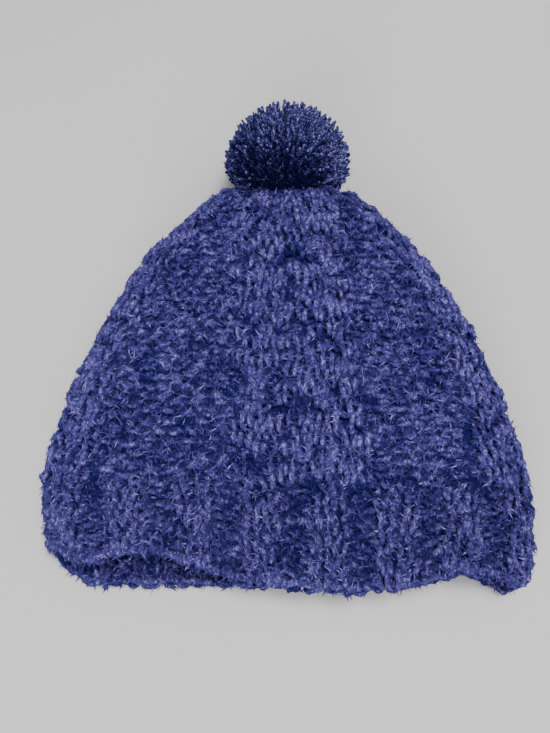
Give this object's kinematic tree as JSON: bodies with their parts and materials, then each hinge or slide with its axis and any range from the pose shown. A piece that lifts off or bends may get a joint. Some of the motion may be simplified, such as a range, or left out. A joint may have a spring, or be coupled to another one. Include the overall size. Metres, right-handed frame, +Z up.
{
  "type": "stocking cap",
  "caption": "Knitted bobble hat lying flat: hollow cabled crown gathered at its end, ribbed brim, yarn tie and a cut-yarn pompom.",
  "frame": {"origin": "under the middle of the whole cap, on the surface it lies on", "axes": "+Z up from the surface; +Y along the cap, from its brim towards its pompom; +X across it, towards its right fold seen from above with the brim near"},
  "size_m": [0.237, 0.262, 0.0595],
  "materials": {
    "crown_knit": "brushed mohair-look yarn, matt and fuzzy, blue-violet with lavender flecks",
    "brim_knit": "the same brushed yarn, ribbed",
    "pompom_yarn": "cut plied yarn, navy with pale ends",
    "tie_yarn": "plain wool yarn"
  },
  "bodies": {
    "root": {"crown": "crown_knit", "brim": "brim_knit", "pompom": "pompom_yarn", "pompom_tie": "tie_yarn"}
  },
  "joints": []
}
